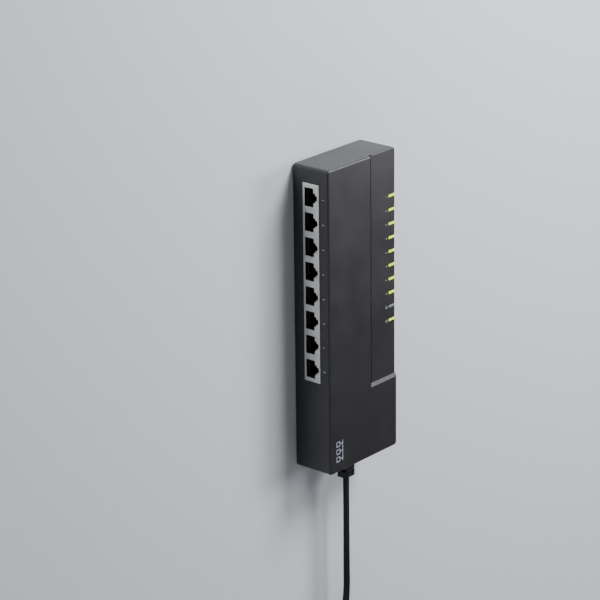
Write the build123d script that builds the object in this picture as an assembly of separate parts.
"""Slim eight-port network switch with a built-in power supply, held upright by magnets.

Units are millimetres. +Z is up, along the long axis, -Y is the front face, +Y points into the
panel that the switch is held to, and -X is the side with the sockets. The origin is the centre
of the rear contact face. Every function builds one physical piece, or one set of identical ones.
"""

from build123d import *
import math
import os

# ---- overall sizes ---------------------------------------------------------------------------
LENGTH = 200.0  # along Z
WIDTH = 67.0  # along X
DEPTH = 28.0  # along Y, from the front face to the contact face
WALL = 1.8
END_CORNER_R = 2.3  # corners of the outline seen from the front
FRONT_EDGE_R = 1.1
STRIP_EDGE_R = 0.8
RIM_SET_BACK = 0.3  # the shell's rear rim stops this short of the contact face
FIT = 0.1  # gap between pieces that are placed into each other

# ---- recessed strip on the front face ---------------------------------------------------------
STRIP_DEPTH = 1.6
STRIP_WIDTH = 26.2
STRIP_LEDGE_DOWN = 150.6  # from the top end to the top of the ledge
LEDGE_RISE = 2.1  # the sloped ledge's height along Z
GROOVE_WIDE = 2.5  # the shadow line beside the strip's step
GROOVE_DEEP = 0.6

# ---- sockets ----------------------------------------------------------------------------------
PORTS = 8
PORT_PITCH = 16.0
JACK_TALL = 12.6  # the shield's size along Y
JACK_ENDS = 0.75  # shield beyond the first and last socket pitch
JACK_TOP_DOWN = 10.2
JACK_LONG = 16.5  # along X
JACK_PROUD = 0.3  # the shield's face stands out of the casing
SHIELD_THICK = 0.3
SOCKET_WIDE = 11.9
SOCKET_TALL = 6.9
SOCKET_DEEP = 14.0
SOCKET_REAR_LIP = 1.5  # from the shield's rear side to the socket
LATCH_WIDE = 6.2
LATCH_TALL = 1.5
LATCH_SLOT_WIDE = 3.4
LATCH_SLOT_TALL = 1.5
CONTACTS = 8
CONTACT_PITCH = 1.02
CONTACT_WIRE = 0.34
CONTACT_RISE = 1.8

# ---- indicator windows ------------------------------------------------------------------------
LAMPS = 10
LAMP_PITCH = 9.15
LAMP_TOP_DOWN = 31.0
LAMP_WIDE = 6.2
LAMP_TALL = 1.6
LAMP_WRAP = 3.0  # how far a window comes round onto the side
GUIDE_SPINE = 1.4
GUIDE_LEG_WIDE = 2.2
GUIDE_LEG_TALL = 1.4

# ---- rear cover, magnets and screws -----------------------------------------------------------
REAR_THICK = 2.0
SCREW_PAD_THICK = 4.0
SCREW_PAD_R = 4.2
SCREW_INSET_X = 6.5
SCREW_INSET_Z = 5.9
SCREW_SHANK_R = 1.3
SCREW_HEAD_R = 2.6
SCREW_HEAD_TALL = 1.8
SCREW_LONG = 12.0
THREAD_GAP = 0.02
BOSS_R = 3.1
WEB_THICK = 1.4
COUNTERBORE = 2.3
MAGNET_WIDE = 14.0
MAGNET_LONG = 40.0
MAGNET_THICK = 2.6
YOKE_THICK = 0.8
YOKE_MARGIN = 0.6
MAGNET_Z = 62.0
POCKET_WALL = 1.5
KEYHOLE_Z = 30.0
KEYHOLE_X = 20.0
KEYHOLE_HEAD_R = 3.9
KEYHOLE_SLOT_R = 2.1
KEYHOLE_TRAVEL = 8.0
LABEL_WIDE = 44.0
LABEL_LONG = 26.0
LABEL_THICK = 0.15
LABEL_RECESS = 0.25

# ---- circuit boards ---------------------------------------------------------------------------
BOARD_THICK = 1.6
BOARD_GAP = 0.5
BOARD_CLEAR = 1.5  # between the boards' solder side and the magnet pockets
MAIN_BOARD_BELOW_JACKS = 1.9
BOARDS_APART = 4.0
POWER_BOARD_UP = 11.0  # from the lower end to the supply board
SHEET_THICK = 0.4
SHEET_LIFT = 0.5
SHEET_MARGIN = 7.6  # keeps the sheet clear of the board screws
POST_R = 2.8
BOARD_SCREW_R = 1.1
BOARD_HEAD_R = 2.2
BOARD_HEAD_TALL = 1.5
BOARD_SCREW_LONG = 8.0
HOLE_CLEAR = 0.2

# ---- components: size across X, along Z and up from the board ---------------------------------
COIL = (9.0, 13.4, 4.2)
COIL_GAP = 1.7  # between the shield and the LAN transformers
CHIP = (20.0, 20.0, 1.4)
PAD = (18.0, 18.0, 0.5)
SINK = (22.0, 40.0, 8.0)
SINK_BASE = 2.0
SINK_FINS = 7
SINK_FIN_THICK = 1.0
CRYSTAL = (11.2, 4.6, 3.4)
MEMORY = (4.0, 5.2, 1.5)
INDUCTOR = (7.2, 7.2, 4.2)
BOARD_CAN_R = 3.15
BOARD_CAN_TALL = 7.6
BOARD_CAN_PITCH = 9.0
BOARD_CAN_UP = 15.6  # from the board's lower edge to the first capacitor
LED = (1.6, 0.9, 0.7)
FUSE_LONG = 18.0
FUSE_R = 2.4
FUSE_CAP_R = 2.6
FUSE_CAP_LONG = 5.0
FUSE_LIFT = 3.4
FUSE_LEG_R = 0.5
X_CAPACITOR = (17.5, 8.5, 14.0)
CHOKE = (15.0, 10.0, 15.0)
CHOKE_COIL_R = 3.4
BRIDGE = (9.0, 6.4, 3.2)
BULK_R = 6.3
BULK_TALL = 15.5
TRANSFORMER = (17.5, 16.5, 15.0)
OUTPUT_CAN_R = 4.0
OUTPUT_CAN_TALL = 12.0
DIODE_PLATE = (1.2, 13.0, 14.0)
DIODE = (4.4, 10.0, 12.0)
JUMPERS = 4
JUMPER_PITCH = 2.5
JUMPER_WIRE = 0.9
JUMPER_LIFT = 2.6
JUMPER_INSET = 2.4
LEAD_WIRE = 1.8
LEAD_APART = 2.8

# ---- cord gland, cord and plug ----------------------------------------------------------------
GLAND_FRONT = 15.0  # from the front face to the gland's centre
GLAND_WIDE = 10.7
GLAND_TALL = 8.0
GLAND_OUT = 14.3
GLAND_NECK_WIDE = 9.4
GLAND_SLOT = 1.2
GLAND_SLOT_DEEP = 1.4
GLAND_FLANGE = 1.8
GLAND_FLANGE_MARGIN = 2.2
CORD_ROUND = 4.1  # round section of the same area as the flat twin cord
CORD_WIDE = 5.4
CORD_THICK = 2.8
HANK_COLUMNS = 3
HANK_COLUMN_GAP = 0.4
HANK_LAYER_GAP = 0.3
HANK_FOLD_R = 16.2
HANK_LONG = 92.0  # between the centres of the two end loops
HANK_TOP_Z = -237.0
TIE_WIDE = 10.0
TIE_THICK = 1.1
PLUG_WIDE = 24.0
PLUG_THICK = 15.0
PLUG_LONG = 25.0
PLUG_NECK = 12.0
BLADE_PITCH = 12.7
BLADE_LONG = 16.5
BLADE_WIDE = 6.3
BLADE_THICK = 1.5

# ---- places worked out from the sizes above ---------------------------------------------------
TOP = LENGTH / 2
HALF = WIDTH / 2
FRONT = -DEPTH
STRIP_FACE = FRONT + STRIP_DEPTH
STRIP_X = HALF - STRIP_WIDTH
LEDGE_Z = TOP - STRIP_LEDGE_DOWN
INNER_FRONT = STRIP_FACE + WALL
POCKET_DEEP = MAGNET_THICK + YOKE_THICK + FIT
JACK_Y1 = -(POCKET_DEEP + POCKET_WALL + BOARD_CLEAR + BOARD_THICK)
JACK_Y0 = JACK_Y1 - JACK_TALL
JACK_Z1 = TOP - JACK_TOP_DOWN
JACK_Z0 = JACK_Z1 - PORTS * PORT_PITCH - 2 * JACK_ENDS
JACK_X0 = -HALF - JACK_PROUD
JACK_X1 = JACK_X0 + JACK_LONG
PORT_Z = [JACK_Z1 - JACK_ENDS - (i + 0.5) * PORT_PITCH for i in range(PORTS)]
SOCKET_Y1 = JACK_Y1 - SOCKET_REAR_LIP
SOCKET_Y0 = SOCKET_Y1 - SOCKET_TALL
LAMP_Z = [TOP - LAMP_TOP_DOWN - i * LAMP_PITCH for i in range(LAMPS)]
BOARD_Y0 = JACK_Y1  # the side that carries the components
BOARD_Y1 = BOARD_Y0 + BOARD_THICK
BOARD_HALF = HALF - WALL - BOARD_GAP
MAIN_Z0 = JACK_Z0 - MAIN_BOARD_BELOW_JACKS
MAIN_Z1 = TOP - WALL - BOARD_GAP
POWER_Z1 = MAIN_Z0 - BOARDS_APART
POWER_Z0 = -TOP + POWER_BOARD_UP
COIL_X = JACK_X1 + COIL_GAP + COIL[0] / 2
CHIP_X = COIL_X + COIL[0] / 2 + 3.6 + SINK[0] / 2
CHIP_Z = PORT_Z[PORTS // 2] + 17.0
LAMP_X = HALF - (LAMP_WIDE + WALL) / 2 + 0.05
CASE_SCREWS = [
    (sx * (HALF - SCREW_INSET_X), sz * (TOP - SCREW_INSET_Z)) for sx in (-1, 1) for sz in (-1, 1)
]
MAIN_POSTS = [
    (COIL_X + 14.1, MAIN_Z1 - 7.5),
    (COIL_X + COIL[0] / 2 + 5.6, MAIN_Z0 + 4.6),
    (BOARD_HALF - 6.7, MAIN_Z0 + 7.6),
]
POWER_POSTS = [(sx * (BOARD_HALF - 4.0), POWER_Z1 - 4.2) for sx in (-1, 1)]
GLAND_Y = FRONT + GLAND_FRONT
GLAND_END = -TOP - GLAND_OUT
HANK_COLUMN_PITCH = CORD_WIDE + HANK_COLUMN_GAP
HANK_LAYER_PITCH = CORD_THICK + HANK_LAYER_GAP
HANK_BOTTOM_Z = HANK_TOP_Z - HANK_LONG
HANK_MID_Z = (HANK_TOP_Z + HANK_BOTTOM_Z) / 2
HANK_OUT_R = HANK_FOLD_R + HANK_LAYER_PITCH
HANK_DEEP = HANK_COLUMNS * HANK_COLUMN_PITCH
HANK_WAIST = 2 * HANK_LAYER_PITCH

# The cord hangs straight from the gland, then eases over to the hank's outer turn.
CORD_ROUTE = [
    (0.0, GLAND_Y, GLAND_END),
    (0.0, GLAND_Y, -196.0),
    (-4.0, GLAND_Y - 1.8, -207.5),
    (-13.0, GLAND_Y - 4.4, -217.0),
    (-19.5, GLAND_Y - 5.6, -229.5),
    (-19.2, GLAND_Y - 5.8, -243.0),
]
# The tail leaves the hank's last turn and hangs down to the plug.
TAIL_ROUTE = [
    (-19.2, GLAND_Y + 5.8, -323.0),
    (-19.5, GLAND_Y + 5.6, -336.5),
    (-13.2, GLAND_Y + 4.4, -348.0),
    (-4.0, GLAND_Y + 1.6, -356.5),
    (0.0, GLAND_Y, -366.5),
    (0.0, GLAND_Y, -376.0),
]
PLUG_TOP_Z = TAIL_ROUTE[-1][2]


# ---- helpers ----------------------------------------------------------------------------------
def block(x0, x1, y0, y1, z0, z1):
    """A box from its two corners."""
    centre = Pos((x0 + x1) / 2, (y0 + y1) / 2, (z0 + z1) / 2)
    return centre * Box(x1 - x0, y1 - y0, z1 - z0)


def slab(wide, tall, radius, y0, y1, x=0.0, z=0.0):
    """A plate with rounded corners, seen from the front, between two depths."""
    outline = Pos(x, z) * RectangleRounded(wide, tall, radius)
    return Pos(0, y1, 0) * extrude(Plane.XZ * outline, amount=y1 - y0)


def rod_y(x, z, y0, y1, radius):
    """A round bar along Y."""
    return Pos(x, (y0 + y1) / 2, z) * Rot(X=90) * Cylinder(radius, y1 - y0)


def rod_x(x0, x1, y, z, radius):
    """A round bar along X."""
    return Pos((x0 + x1) / 2, y, z) * Rot(Y=90) * Cylinder(radius, x1 - x0)


def rod_z(x, y, z0, z1, radius):
    """A round bar along Z."""
    return Pos(x, y, (z0 + z1) / 2) * Cylinder(radius, z1 - z0)


def on_board(x, z, wide, long, tall, lift=0.0):
    """A rectangular component that stands on a board's component side."""
    y1 = BOARD_Y0 - lift
    return block(x - wide / 2, x + wide / 2, y1 - tall, y1, z - long / 2, z + long / 2)


def eased_corners(points):
    """The largest bend that the two runs beside each corner of a route allow."""
    radii = []
    for a, b, c in zip(points, points[1:], points[2:]):
        first = Vector(*b) - Vector(*a)
        second = Vector(*c) - Vector(*b)
        turn = math.radians(first.get_angle(second))
        radii.append(0.45 * min(first.length, second.length) / math.tan(turn / 2))
    return radii


def tube(points, diameter, label):
    """A round tube along straight runs joined by tangent arcs."""
    radii = eased_corners(points)
    path = FilletPolyline(*points, radius=radii)
    section = Plane(path @ 0, z_dir=path % 0) * Circle(diameter / 2)
    solid = sweep(section, path)
    expected = math.pi * diameter**2 / 4 * path.length
    print(f"{label}: {path.length:.1f} mm, bends {[round(r, 1) for r in radii]}, "
          f"volume {solid.volume:.1f} of {expected:.1f}")
    return solid


def wire(points, diameter, bend):
    """A short insulated or bare wire with one bend radius throughout."""
    path = FilletPolyline(*points, radius=bend)
    return sweep(Plane(path @ 0, z_dir=path % 0) * Circle(diameter / 2), path)


def screw(x, z, y_seat, head_r, head_tall, shank_r, shank_long):
    """A pan-head screw driven forwards (towards -Y), with a cross recess in its head."""
    head = rod_y(x, z, y_seat, y_seat + head_tall, head_r)
    rim = head.edges().filter_by(GeomType.CIRCLE).sort_by(Axis.Y)[-1]
    head = fillet(rim, head_tall * 0.35)
    shank = rod_y(x, z, y_seat - shank_long, y_seat, shank_r)
    tip = shank.edges().filter_by(GeomType.CIRCLE).sort_by(Axis.Y)[0]
    shank = chamfer(tip, shank_r * 0.5)
    slot_long = head_r * 1.1
    slot_wide = head_r * 0.24
    slot_top = y_seat + head_tall
    cross = block(x - slot_long / 2, x + slot_long / 2, slot_top - 0.8, slot_top + 1,
                  z - slot_wide / 2, z + slot_wide / 2)
    cross += block(x - slot_wide / 2, x + slot_wide / 2, slot_top - 0.8, slot_top + 1,
                   z - slot_long / 2, z + slot_long / 2)
    return head + shank - cross


def group(solids):
    """Separate identical solids that share one node."""
    return Compound(children=list(solids))


# ---- casing -----------------------------------------------------------------------------------
def strip_prism(depth, x0):
    """The space in front of the recessed strip, down to its sloped ledge."""
    slope = LEDGE_RISE / STRIP_DEPTH
    over = 1.0
    outline = Polyline(
        (FRONT - over, LEDGE_Z - LEDGE_RISE - over * slope),
        (FRONT + depth, LEDGE_Z - LEDGE_RISE + depth * slope),
        (FRONT + depth, TOP + over),
        (FRONT - over, TOP + over),
        close=True,
    )
    return Pos(x0, 0, 0) * extrude(Plane.YZ * make_face(outline), amount=HALF - x0 + over)


def post_root(x):
    """The depth at which a boss or post starts, just inside the front wall there."""
    wall_inside = FRONT + WALL if x < STRIP_X else INNER_FRONT
    return wall_inside - 0.3


def front_cover():
    """The deep shell: front face, four sides, strip, windows, bosses and posts."""
    rear = -RIM_SET_BACK
    shell = slab(WIDTH, LENGTH, END_CORNER_R, FRONT, rear)
    shell = fillet(shell.edges().filter_by_position(Axis.Y, FRONT - 0.01, FRONT + 0.01),
                   FRONT_EDGE_R)
    shell -= strip_prism(STRIP_DEPTH, STRIP_X)
    strip_rim = [
        e
        for e in shell.edges().filter_by_position(Axis.Y, STRIP_FACE - 0.01, STRIP_FACE + 0.01)
        if e.center().X > HALF - END_CORNER_R - 0.1 or e.center().Z > TOP - END_CORNER_R - 0.1
    ]
    shell = fillet(strip_rim, STRIP_EDGE_R)
    shell -= block(STRIP_X, STRIP_X + GROOVE_WIDE, STRIP_FACE - 0.01, STRIP_FACE + GROOVE_DEEP,
                   LEDGE_Z, TOP + 1)
    inner_r = max(END_CORNER_R - WALL, 0.4)
    shell -= slab(WIDTH - 2 * WALL, LENGTH - 2 * WALL, inner_r, INNER_FRONT, 1.0)
    shell -= block(-HALF + WALL, STRIP_X - WALL, FRONT + WALL, INNER_FRONT + 1,
                   -TOP + WALL, TOP - WALL)
    shell -= block(-HALF - 1, -HALF + WALL + 1, JACK_Y0 - FIT, JACK_Y1 + FIT,
                   JACK_Z0 - FIT, JACK_Z1 + FIT)
    for z in LAMP_Z:
        shell -= block(HALF - LAMP_WIDE - FIT, HALF + 1, FRONT - 1, STRIP_FACE + LAMP_WRAP + FIT,
                       z - LAMP_TALL / 2 - FIT, z + LAMP_TALL / 2 + FIT)
    half_slot = GLAND_NECK_WIDE / 2 + FIT
    shell -= block(-half_slot, half_slot, GLAND_Y - GLAND_TALL / 2 - FIT, 1,
                   -TOP - 1, -TOP + WALL + 0.1)
    boss_end = -SCREW_PAD_THICK - FIT
    for x, z in CASE_SCREWS:
        boss = rod_y(x, z, post_root(x), boss_end, BOSS_R)
        wall_z = math.copysign(TOP - WALL / 2, z)
        web = block(x - WEB_THICK / 2, x + WEB_THICK / 2, post_root(x), boss_end,
                    min(z, wall_z), max(z, wall_z))
        pilot = rod_y(x, z, INNER_FRONT + 3, boss_end + 1, SCREW_SHANK_R + THREAD_GAP)
        shell = shell + boss + web - pilot
    for x, z in MAIN_POSTS + POWER_POSTS:
        pilot = rod_y(x, z, BOARD_Y0 - BOARD_SCREW_LONG - 1, BOARD_Y0 + 1,
                      BOARD_SCREW_R + THREAD_GAP)
        shell = shell + rod_y(x, z, post_root(x), BOARD_Y0, POST_R) - pilot
    return shell


def keyhole(x, z):
    """A hang-up hole: a round entry with a narrower slot above it."""
    head = rod_y(x, z, -REAR_THICK - 1, 1, KEYHOLE_HEAD_R)
    neck = block(x - KEYHOLE_SLOT_R, x + KEYHOLE_SLOT_R, -REAR_THICK - 1, 1,
                 z, z + KEYHOLE_TRAVEL)
    return head + neck + rod_y(x, z + KEYHOLE_TRAVEL, -REAR_THICK - 1, 1, KEYHOLE_SLOT_R)


def magnet_places():
    """The centres of the two magnets, as (x, z)."""
    return [(0.0, MAGNET_Z), (0.0, -MAGNET_Z)]


def rear_cover():
    """The inset rear plate with screw pads, magnet pockets and hang-up holes."""
    wide = WIDTH - 2 * WALL - 2 * FIT
    long = LENGTH - 2 * WALL - 2 * FIT
    cover = slab(wide, long, max(END_CORNER_R - WALL, 0.4), -REAR_THICK, 0)
    for x, z in magnet_places():
        out_w = MAGNET_WIDE + 2 * YOKE_MARGIN + 2 * FIT
        out_l = MAGNET_LONG + 2 * YOKE_MARGIN + 2 * FIT
        cover += slab(out_w + 2 * POCKET_WALL, out_l + 2 * POCKET_WALL, 2.0,
                      -POCKET_DEEP - POCKET_WALL, -REAR_THICK + 0.5, x, z)
        cover -= slab(out_w, out_l, 1.0, -POCKET_DEEP, 1, x, z)
    for x, z in CASE_SCREWS:
        pad = rod_y(x, z, -SCREW_PAD_THICK, -REAR_THICK + 0.5, SCREW_PAD_R)
        keep = slab(wide, long, max(END_CORNER_R - WALL, 0.4), -SCREW_PAD_THICK, 0)
        cover += pad & keep
        cover -= rod_y(x, z, -SCREW_PAD_THICK - 1, 1, SCREW_SHANK_R + 0.25)
        cover -= rod_y(x, z, -COUNTERBORE, 1, SCREW_HEAD_R + 0.25)
    for sx in (-1, 1):
        cover -= keyhole(sx * KEYHOLE_X, KEYHOLE_Z)
    cover -= slab(LABEL_WIDE + 2 * FIT, LABEL_LONG + 2 * FIT, 1.0, -LABEL_RECESS, 1)
    tongue_half = GLAND_NECK_WIDE / 2
    cover += block(-tongue_half, tongue_half, GLAND_Y + GLAND_TALL / 2 + FIT / 2, 0,
                   -TOP, -TOP + WALL)
    cover += block(-tongue_half, tongue_half, -REAR_THICK, 0, -TOP, -TOP + WALL + 1)
    return cover


def magnets():
    """Two flat magnets, flush with the contact face."""
    return group(
        slab(MAGNET_WIDE, MAGNET_LONG, 0.6, -MAGNET_THICK, 0, x, z) for x, z in magnet_places()
    )


def magnet_yokes():
    """A steel tray behind each magnet, with a rim round it."""
    trays = []
    for x, z in magnet_places():
        wide = MAGNET_WIDE + 2 * YOKE_MARGIN
        long = MAGNET_LONG + 2 * YOKE_MARGIN
        tray = slab(wide, long, 1.0, -MAGNET_THICK - YOKE_THICK, -0.4, x, z)
        hollow = slab(MAGNET_WIDE + 0.1, MAGNET_LONG + 0.1, 0.6, -MAGNET_THICK, 1, x, z)
        trays.append(tray - hollow)
    return group(trays)


def rating_label():
    """A blank label in its shallow recess."""
    rear = -LABEL_RECESS + LABEL_THICK
    return slab(LABEL_WIDE, LABEL_LONG, 0.9, -LABEL_RECESS, rear)


def case_screws():
    """Four screws through the rear cover into the shell's bosses."""
    return group(
        screw(x, z, -COUNTERBORE, SCREW_HEAD_R, SCREW_HEAD_TALL, SCREW_SHANK_R, SCREW_LONG)
        for x, z in CASE_SCREWS
    )


def board_screws():
    """Screws through both boards into the posts."""
    return group(
        screw(x, z, BOARD_Y1, BOARD_HEAD_R, BOARD_HEAD_TALL, BOARD_SCREW_R, BOARD_SCREW_LONG)
        for x, z in MAIN_POSTS + POWER_POSTS
    )


def light_guide():
    """One clear moulding: a spine, ten windows round the edge and ten legs to the lamps."""
    spine_half = (LAMP_WIDE - WALL) / 2 - 0.35
    guide = block(LAMP_X - spine_half, LAMP_X + spine_half, INNER_FRONT,
                  INNER_FRONT + GUIDE_SPINE,
                  LAMP_Z[-1] - LAMP_TALL / 2, LAMP_Z[0] + LAMP_TALL / 2)
    for z in LAMP_Z:
        z0 = z - LAMP_TALL / 2
        z1 = z + LAMP_TALL / 2
        window = block(HALF - LAMP_WIDE, HALF, STRIP_FACE, INNER_FRONT + 0.2, z0, z1)
        window += block(HALF - WALL, HALF, STRIP_FACE, STRIP_FACE + LAMP_WRAP, z0, z1)
        corner = [
            e
            for e in window.edges().filter_by(Axis.Z)
            if abs(e.center().X - HALF) < 0.01 and abs(e.center().Y - STRIP_FACE) < 0.01
        ]
        window = fillet(corner, STRIP_EDGE_R)
        leg = block(LAMP_X - GUIDE_LEG_WIDE / 2, LAMP_X + GUIDE_LEG_WIDE / 2, INNER_FRONT,
                    BOARD_Y0 - LED[2] - 0.3, z - GUIDE_LEG_TALL / 2, z + GUIDE_LEG_TALL / 2)
        guide = guide + window + leg
    return guide


# ---- sockets ----------------------------------------------------------------------------------
def socket_cut(z, x0, x1, grow=0.0):
    """The space of one socket: the plug's body, its latch and the latch's narrow slot."""
    wide = SOCKET_WIDE / 2 + grow
    y0 = SOCKET_Y0 - grow
    cut = block(x0, x1, y0, SOCKET_Y1 + grow, z - wide, z + wide)
    latch = LATCH_WIDE / 2 + grow
    cut += block(x0, x1, y0 - LATCH_TALL, y0 + 0.5, z - latch, z + latch)
    slot = LATCH_SLOT_WIDE / 2 + grow
    cut += block(x0, x1, y0 - LATCH_TALL - LATCH_SLOT_TALL, y0, z - slot, z + slot)
    return cut


def jack_shield():
    """The folded sheet-metal can over the sockets, open towards the board."""
    t = SHIELD_THICK
    can = block(JACK_X0, JACK_X1, JACK_Y0, JACK_Y1, JACK_Z0, JACK_Z1)
    can = fillet(can.edges().filter_by(Axis.Y).sort_by(Axis.X)[:2], 0.5)
    can -= block(JACK_X0 + t, JACK_X1 - t, JACK_Y0 + t, JACK_Y1 + 1, JACK_Z0 + t, JACK_Z1 - t)
    for z in PORT_Z:
        can -= socket_cut(z, JACK_X0 - 1, JACK_X0 + t + 1)
    return can


def jack_housing():
    """The moulded block behind the shield, with one deep cavity for each socket."""
    t = SHIELD_THICK + 0.05
    housing = block(JACK_X0 + t, JACK_X1 - t, JACK_Y0 + t, JACK_Y1,
                    JACK_Z0 + t, JACK_Z1 - t)
    for z in PORT_Z:
        housing -= socket_cut(z, JACK_X0, JACK_X0 + SOCKET_DEEP)
    return housing


def jack_contacts():
    """Eight bent contact springs in every socket, rising towards the back of the cavity."""
    mouth = JACK_X0 + 2.6
    back = JACK_X0 + SOCKET_DEEP - 0.2
    floor = SOCKET_Y1 - 0.02
    w = CONTACT_WIRE
    outline = Polyline(
        (mouth, floor),
        (mouth, floor - w),
        (back - 2.6, floor - CONTACT_RISE),
        (back - 1.4, floor - CONTACT_RISE),
        (back - 1.4, floor - CONTACT_RISE + w),
        (back - 2.5, floor - CONTACT_RISE + w),
        (mouth + 1.0, floor - w),
        (back - 2.0, floor - w),
        (back - 2.0, floor),
        close=True,
    )
    strip = extrude(make_face(outline), amount=w)
    springs = []
    for z in PORT_Z:
        for k in range(CONTACTS):
            offset = (k - (CONTACTS - 1) / 2) * CONTACT_PITCH
            springs.append(Pos(0, 0, z + offset - w / 2) * strip)
    return group(springs)


# ---- main board -------------------------------------------------------------------------------
def main_board():
    """The board that carries the sockets, chips and lamps, notched for the corner bosses."""
    board = block(-BOARD_HALF, BOARD_HALF, BOARD_Y0, BOARD_Y1, MAIN_Z0, MAIN_Z1)
    for x, z in CASE_SCREWS:
        reach = BOSS_R + 0.6
        board -= block(x - reach if x > 0 else -HALF, HALF if x > 0 else x + reach,
                       BOARD_Y0 - 1, BOARD_Y1 + 1, z - reach, z + reach + 5)
    for x, z in MAIN_POSTS:
        board -= rod_y(x, z, BOARD_Y0 - 1, BOARD_Y1 + 1, BOARD_SCREW_R + HOLE_CLEAR)
    return board


def lan_transformers():
    """One coupling transformer beside each socket."""
    wide, long, tall = COIL
    long = min(long, PORT_PITCH - 2.6)
    return group(
        chamfer(on_board(COIL_X, z, wide, long, tall).edges().filter_by(Axis.Z)
                .sort_by(Axis.Y)[:2], 0.5)
        for z in PORT_Z
    )


def switch_chip():
    """The switching chip in its flat square package."""
    return on_board(CHIP_X, CHIP_Z, *CHIP)


def thermal_pad():
    """The soft pad between the chip and its heatsink."""
    return on_board(CHIP_X, CHIP_Z, *PAD, CHIP[2])


def chip_heatsink():
    """An extruded heatsink with upright fins."""
    wide, long, tall = SINK
    lift = CHIP[2] + PAD[2]
    sink = on_board(CHIP_X, CHIP_Z, wide, long, SINK_BASE, lift)
    for i in range(SINK_FINS):
        share = i / (SINK_FINS - 1) - 0.5
        x = CHIP_X + share * (wide - SINK_FIN_THICK)
        sink += on_board(x, CHIP_Z, SINK_FIN_THICK, long, tall, lift)
    return sink


def clock_crystal():
    """The clock crystal in its low metal can."""
    can_top = MAIN_Z0 + BOARD_CAN_UP + 2 * BOARD_CAN_PITCH + BOARD_CAN_R
    sink_low = CHIP_Z - SINK[1] / 2
    can = on_board(CHIP_X - 1.0, (can_top + sink_low) / 2, *CRYSTAL)
    return fillet(can.edges().filter_by(Axis.Y), CRYSTAL[1] / 2 - 0.1)


def memory_chip():
    """The small settings memory."""
    return on_board(CHIP_X - 3.0, CHIP_Z + 32.0, *MEMORY)


def power_inductor():
    """The inductor of the board's voltage converter."""
    core = on_board(CHIP_X + 6.0, MAIN_Z0 + 19.6, *INDUCTOR)
    return fillet(core.edges().filter_by(Axis.Y), 1.6)


def board_capacitors():
    """Three upright capacitors by the voltage converter."""
    places = [MAIN_Z0 + BOARD_CAN_UP + i * BOARD_CAN_PITCH for i in range(3)]
    return group(
        rod_y(CHIP_X - 3.0, z, BOARD_Y0 - BOARD_CAN_TALL, BOARD_Y0, BOARD_CAN_R) for z in places
    )


def indicator_leds():
    """Ten lamps on the board, one under each leg of the light guide."""
    return group(on_board(LAMP_X, z, *LED) for z in LAMP_Z)


# ---- power supply -----------------------------------------------------------------------------
def power_board():
    """The supply's own board, below the main board."""
    board = block(-BOARD_HALF, BOARD_HALF, BOARD_Y0, BOARD_Y1, POWER_Z0, POWER_Z1)
    for x, z in POWER_POSTS:
        board -= rod_y(x, z, BOARD_Y0 - 1, BOARD_Y1 + 1, BOARD_SCREW_R + HOLE_CLEAR)
    return board


def insulating_sheet():
    """A thin sheet between the supply's solder side and the rear cover."""
    y = BOARD_Y1 + SHEET_LIFT
    return block(-BOARD_HALF, BOARD_HALF, y, y + SHEET_THICK, POWER_Z0, POWER_Z1 - SHEET_MARGIN)


def fuse():
    """A glass fuse with metal caps, lying across the board."""
    y = BOARD_Y0 - FUSE_LIFT
    z = POWER_Z0 + 5.0
    x0 = -BOARD_HALF + 6.2
    x1 = x0 + FUSE_LONG
    body = rod_x(x0, x1, y, z, FUSE_R)
    for x in (x0, x1 - FUSE_CAP_LONG):
        body += rod_x(x, x + FUSE_CAP_LONG, y, z, FUSE_CAP_R)
        body += rod_y(x + FUSE_CAP_LONG / 2, z, y, BOARD_Y0, FUSE_LEG_R)
    return body


def x_capacitor():
    """The boxed suppression capacitor."""
    can = on_board(-BOARD_HALF + 10.2, POWER_Z0 + 14.0, *X_CAPACITOR)
    return fillet(can.edges().filter_by(Axis.Y), 0.8)


def line_filter_choke():
    """The common-mode choke: two windings on a frame core."""
    wide, long, tall = CHOKE
    x = -0.5
    z = POWER_Z0 + 14.5
    yoke = 3.0
    choke = on_board(x, z, wide, long, yoke)
    for side in (-1, 1):
        choke += rod_y(x + side * 4.0, z, BOARD_Y0 - tall + 2.0, BOARD_Y0 - 2.5, CHOKE_COIL_R)
    return choke + on_board(x, z, wide, long - 2.0, 2.0, tall - 2.0)


def bridge_rectifier():
    """The four-legged rectifier."""
    return on_board(BOARD_HALF - 16.2, POWER_Z0 + 5.0, *BRIDGE)


def bulk_capacitor():
    """The tall mains storage capacitor."""
    can = rod_y(BOARD_HALF - 10.2, POWER_Z0 + 17.0, BOARD_Y0 - BULK_TALL, BOARD_Y0, BULK_R)
    rim = can.edges().filter_by(GeomType.CIRCLE).sort_by(Axis.Y)[0]
    return fillet(rim, 0.7)


def power_transformer():
    """The supply's transformer: a bobbin inside two E cores."""
    wide, long, tall = TRANSFORMER
    z = POWER_Z1 - 12.9
    bobbin = on_board(0.0, z, wide - 4.5, long, tall - 2.0)
    core = on_board(0.0, z, wide, 5.2, tall)
    return bobbin + core + on_board(0.0, z, wide, long, 2.0)


def output_capacitors():
    """Two capacitors on the low-voltage side."""
    return group(
        rod_y(-BOARD_HALF + inset, POWER_Z1 - 13.0, BOARD_Y0 - OUTPUT_CAN_TALL, BOARD_Y0,
              OUTPUT_CAN_R)
        for inset in (7.7, 16.7)
    )


def diode_heatsink():
    """The output diode on its upright aluminium plate."""
    x = BOARD_HALF - 15.7
    z = POWER_Z1 - 11.5
    plate = on_board(x, z, *DIODE_PLATE)
    return plate + on_board(x + (DIODE_PLATE[0] + DIODE[0]) / 2, z, *DIODE, 1.0)


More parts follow.
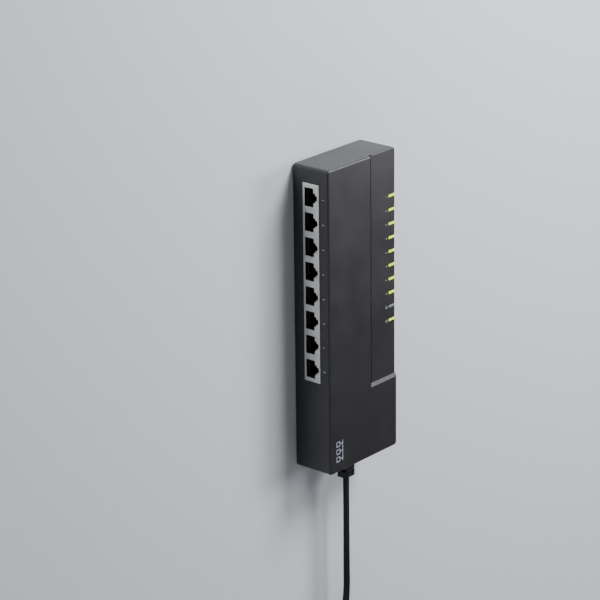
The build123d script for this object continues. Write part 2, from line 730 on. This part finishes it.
def dc_jumpers():
    """Four jumpers that carry the low voltage across the gap between the boards."""
    jumpers = []
    for i in range(JUMPERS):
        x = BOARD_HALF - 16.2 + i * JUMPER_PITCH
        points = [
            (x, BOARD_Y0, MAIN_Z0 + JUMPER_INSET),
            (x, BOARD_Y0 - JUMPER_LIFT, MAIN_Z0 + JUMPER_INSET),
            (x, BOARD_Y0 - JUMPER_LIFT, POWER_Z1 - JUMPER_INSET),
            (x, BOARD_Y0, POWER_Z1 - JUMPER_INSET),
        ]
        jumpers.append(wire(points, JUMPER_WIRE, 0.8))
    return group(jumpers)


def ac_leads():
    """The cord's two conductors, from the gland to the supply board."""
    leads = []
    z0 = -TOP + WALL + GLAND_FLANGE + FIT
    z1 = POWER_Z0 + 2.1
    for side in (-1, 1):
        x = side * LEAD_APART / 2
        x_end = side * 3.2
        points = [
            (x, GLAND_Y, z0),
            (x, GLAND_Y, z0 + 4.0),
            (x_end, GLAND_Y + 1.0, z1),
            (x_end, BOARD_Y0, z1),
        ]
        leads.append(wire(points, LEAD_WIRE, 1.6))
    return group(leads)


# ---- gland, cord and plug ---------------------------------------------------------------------
def gland_section(wide, tall, z0, z1):
    """A rounded bar along Z, centred on the gland's axis."""
    outline = RectangleRounded(wide, tall, min(wide, tall) * 0.3)
    return Pos(0, GLAND_Y, z0) * extrude(outline, amount=z1 - z0)


def cord_gland():
    """The moulded strain relief: a flange inside the shell, a neck, and a ribbed sleeve."""
    flange_z0 = -TOP + WALL + 0.05
    gland = gland_section(GLAND_WIDE + 2 * GLAND_FLANGE_MARGIN, GLAND_TALL + GLAND_FLANGE_MARGIN,
                          flange_z0, flange_z0 + GLAND_FLANGE)
    neck_half = GLAND_NECK_WIDE / 2
    gland += block(-neck_half, neck_half, GLAND_Y - GLAND_TALL / 2, GLAND_Y + GLAND_TALL / 2,
                   -TOP - 0.2, flange_z0 + 0.2)
    gland += gland_section(GLAND_WIDE, GLAND_TALL, GLAND_END, -TOP - 0.05)
    ribs = 3
    rib = (GLAND_OUT - (ribs - 1) * GLAND_SLOT) / ribs
    for i in range(ribs - 1):
        z1 = -TOP - (i + 1) * rib - i * GLAND_SLOT
        ring = gland_section(GLAND_WIDE + 2, GLAND_TALL + 2, z1 - GLAND_SLOT, z1)
        ring -= gland_section(GLAND_WIDE - 2 * GLAND_SLOT_DEEP, GLAND_TALL - 2 * GLAND_SLOT_DEEP,
                              z1 - GLAND_SLOT - 1, z1 + 1)
        gland -= ring
    return gland


def cord_hank():
    """The put-away length of cord as one solid: two loops gathered by the tie."""
    end_loop = Pos(0, HANK_TOP_Z) * Circle(HANK_OUT_R + CORD_THICK / 2)
    throat = Pos(0, HANK_MID_Z) * Rectangle(2 * HANK_WAIST, TIE_WIDE)
    shoulder = Pos(0, HANK_MID_Z + TIE_WIDE / 2 + 0.5) * Rectangle(2 * HANK_WAIST, 1.0)
    eye = Pos(0, HANK_TOP_Z) * Circle(HANK_FOLD_R - CORD_THICK / 2)
    eye_tip = Pos(0, HANK_MID_Z + TIE_WIDE) * Circle(0.6)
    upper = make_hull(end_loop.edges() + shoulder.edges()) + throat
    upper -= make_hull(eye.edges() + eye_tip.edges())
    lower = Pos(0, 2 * HANK_MID_Z) * mirror(upper, about=Plane.XZ)
    ring = Plane.XZ * (upper + lower)
    return Pos(0, GLAND_Y + HANK_DEEP / 2, 0) * extrude(ring, amount=HANK_DEEP)


def cord_tie():
    """The strap round the hank's waist."""
    wide = 2 * HANK_WAIST + 2 * FIT
    deep = HANK_DEEP + 2 * FIT
    outline = RectangleRounded(wide + 2 * TIE_THICK, deep + 2 * TIE_THICK, TIE_THICK)
    strap = extrude(outline - Rectangle(wide, deep), amount=TIE_WIDE)
    return Pos(0, GLAND_Y, HANK_MID_Z - TIE_WIDE / 2) * strap


def power_cord():
    """The hanging part of the cord, from the gland to the hank."""
    return tube(CORD_ROUTE, CORD_ROUND, "power_cord")


def cord_tail():
    """The cord between the hank and the plug."""
    return tube(TAIL_ROUTE, CORD_ROUND, "cord_tail")


def plug_body():
    """The moulded two-pin plug with a tapered neck."""
    z1 = PLUG_TOP_Z - PLUG_NECK
    body = Pos(0, GLAND_Y, z1 - PLUG_LONG / 2) * Box(PLUG_WIDE, PLUG_THICK, PLUG_LONG)
    body = fillet(body.edges().filter_by(Axis.Z), 3.5)
    foot = Plane.XY.offset(z1 - 0.5) * Pos(0, GLAND_Y) * RectangleRounded(14.0, 10.0, 3.0)
    head = Plane.XY.offset(PLUG_TOP_Z) * Pos(0, GLAND_Y) * RectangleRounded(7.6, 5.6, 1.8)
    return body + loft([foot, head])


def plug_blades():
    """Two flat blades, each with a hole near its tip."""
    z1 = PLUG_TOP_Z - PLUG_NECK - PLUG_LONG
    blades = []
    for sx in (-1, 1):
        x = sx * BLADE_PITCH / 2
        blade = block(x - BLADE_THICK / 2, x + BLADE_THICK / 2, GLAND_Y - BLADE_WIDE / 2,
                      GLAND_Y + BLADE_WIDE / 2, z1 - BLADE_LONG, z1)
        blade = chamfer(blade.edges().filter_by(Axis.X).sort_by(Axis.Z)[:2], 1.4)
        blades.append(blade - rod_x(x - 2, x + 2, GLAND_Y, z1 - BLADE_LONG + 4.0, 1.5))
    return group(blades)


PIECES = [
    front_cover, rear_cover, light_guide, magnets, magnet_yokes, rating_label, case_screws,
    board_screws, jack_shield, jack_housing, jack_contacts, main_board, lan_transformers,
    switch_chip, thermal_pad, chip_heatsink, clock_crystal, memory_chip, power_inductor,
    board_capacitors, indicator_leds, power_board, insulating_sheet, fuse, x_capacitor,
    line_filter_choke, bridge_rectifier, bulk_capacitor, power_transformer, output_capacitors,
    diode_heatsink, dc_jumpers, ac_leads, cord_gland, power_cord, cord_hank, cord_tie, cord_tail,
    plug_body, plug_blades,
]

os.makedirs("parts", exist_ok=True)
for build in PIECES:
    export_step(build(), f"parts/{build.__name__}.step")
